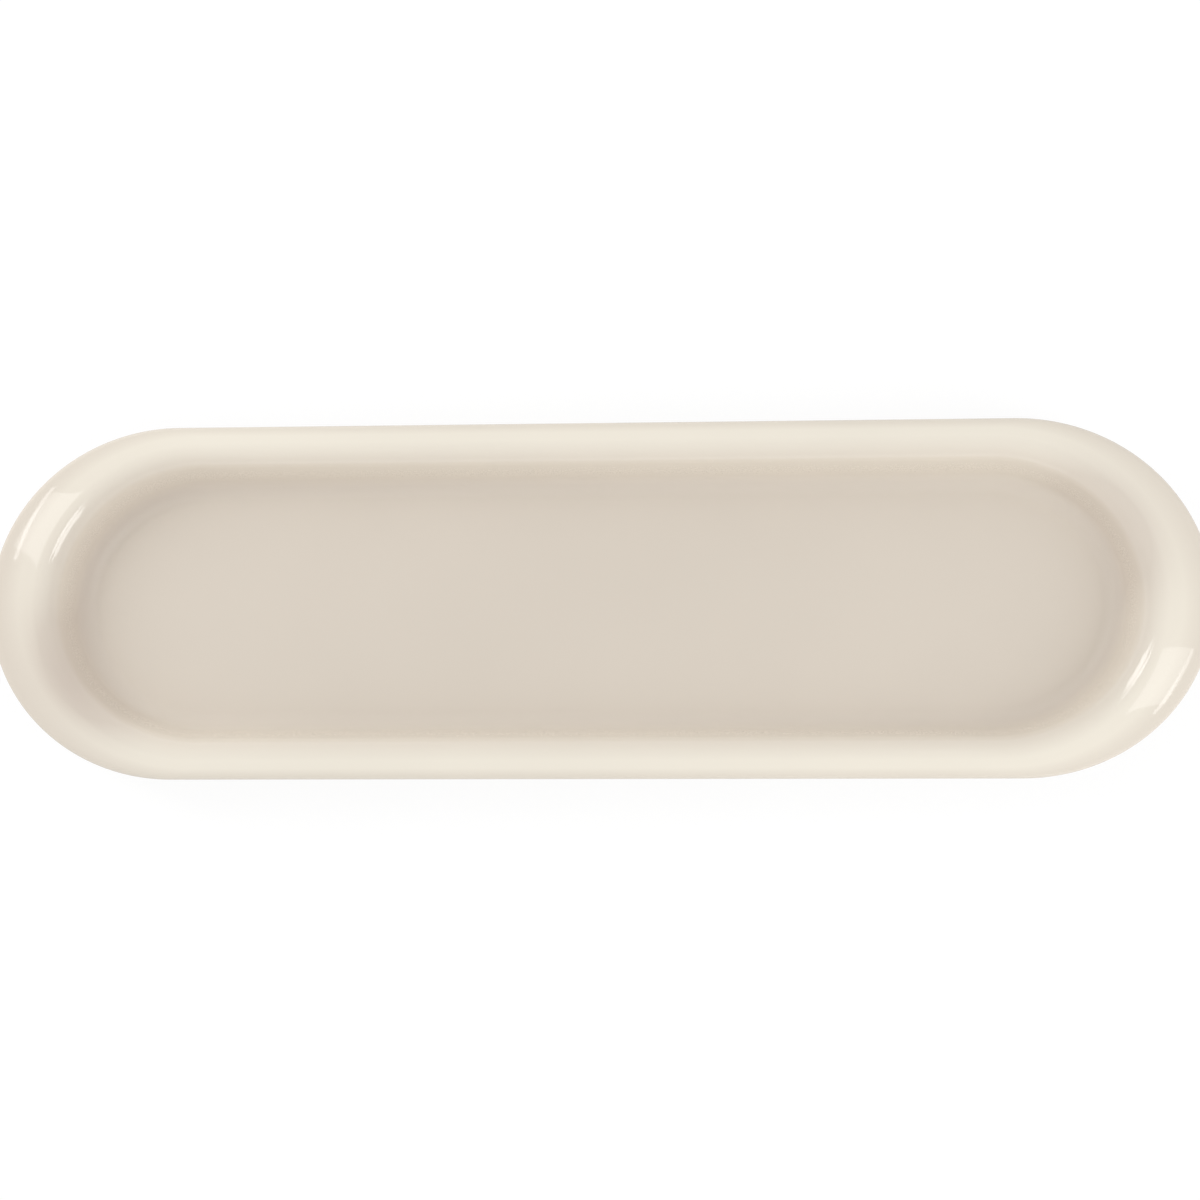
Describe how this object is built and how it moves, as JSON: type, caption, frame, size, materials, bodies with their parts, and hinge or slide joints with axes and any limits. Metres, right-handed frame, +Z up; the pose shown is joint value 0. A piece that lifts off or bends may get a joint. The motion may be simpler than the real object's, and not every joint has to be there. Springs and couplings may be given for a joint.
{
  "type": "serving platter",
  "caption": "Long shallow serving platter with straight sides, round ends and a soft rolled lip, in cream-glazed porcelain with a bare foot ring, for laying out food on a table.",
  "frame": {"origin": "middle of the platter on the plane of the foot ring's standing face", "axes": "+X along the length, +Y across the width, +Z up out of the well"},
  "size_m": [0.4, 0.117, 0.024],
  "materials": {
    "bare_porcelain": "matte",
    "cream_glaze": "polished"
  },
  "bodies": {
    "root": {"porcelain_body": "bare_porcelain", "glaze_coat": "cream_glaze", "base_glaze": "cream_glaze"}
  },
  "joints": []
}
